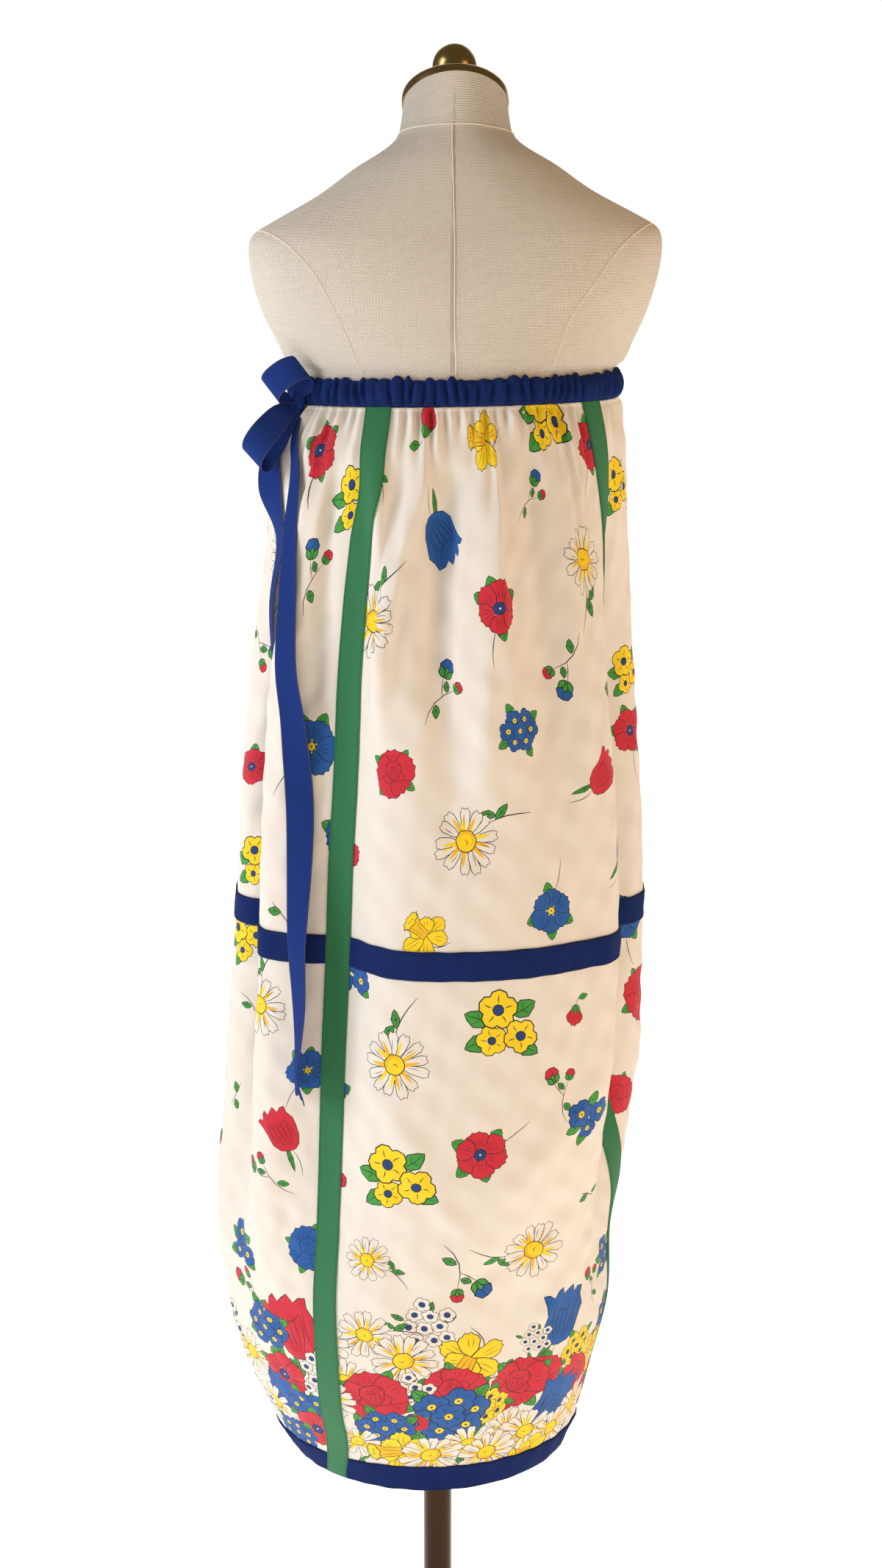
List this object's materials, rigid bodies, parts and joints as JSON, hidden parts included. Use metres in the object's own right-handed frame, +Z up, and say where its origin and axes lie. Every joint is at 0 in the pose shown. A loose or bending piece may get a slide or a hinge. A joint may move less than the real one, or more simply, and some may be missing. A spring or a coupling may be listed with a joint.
{
  "type": "maxi dress on dress form",
  "caption": "Strapless floral cotton maxi dress with a gathered drawstring top edge, ribbon bands and a navy hem, on a linen dress form with a pole stand.",
  "frame": {"origin": "on the floor under the pole's axis, at the middle of the base's underside", "axes": "+Z up along the pole; the dress form's back faces -Y; +X is the right side of the picture"},
  "size_m": [0.4426, 0.4285, 1.7996],
  "materials": {
    "printed_cotton": "plain-weave white cotton with a flower print",
    "navy_cotton": "matte navy cotton",
    "green_grosgrain": "ribbed green ribbon",
    "linen": "natural linen, tight over the form",
    "bronze_metal": "glossy dark bronze"
  },
  "bodies": {
    "root": {"panel_back": "printed_cotton", "panel_right": "printed_cotton", "panel_front": "printed_cotton", "panel_left": "printed_cotton", "band_back_left": "green_grosgrain", "band_back_right": "green_grosgrain", "band_front_right": "green_grosgrain", "band_front_left": "green_grosgrain", "midband_back": "navy_cotton", "midband_right": "navy_cotton", "midband_front": "navy_cotton", "midband_left": "navy_cotton", "hemband_back": "navy_cotton", "hemband_right": "navy_cotton", "hemband_front": "navy_cotton", "hemband_left": "navy_cotton", "casing": "navy_cotton", "bow_knot": "navy_cotton", "bow_loop_upper": "navy_cotton", "bow_loop_lower": "navy_cotton", "bow_tail_front": "navy_cotton", "bow_tail_back": "navy_cotton", "form_torso": "linen", "neck_cap": "bronze_metal", "cap_finial": "bronze_metal", "stand_pole": "bronze_metal", "pole_collar": "bronze_metal", "base_disc": "bronze_metal"}
  },
  "joints": []
}
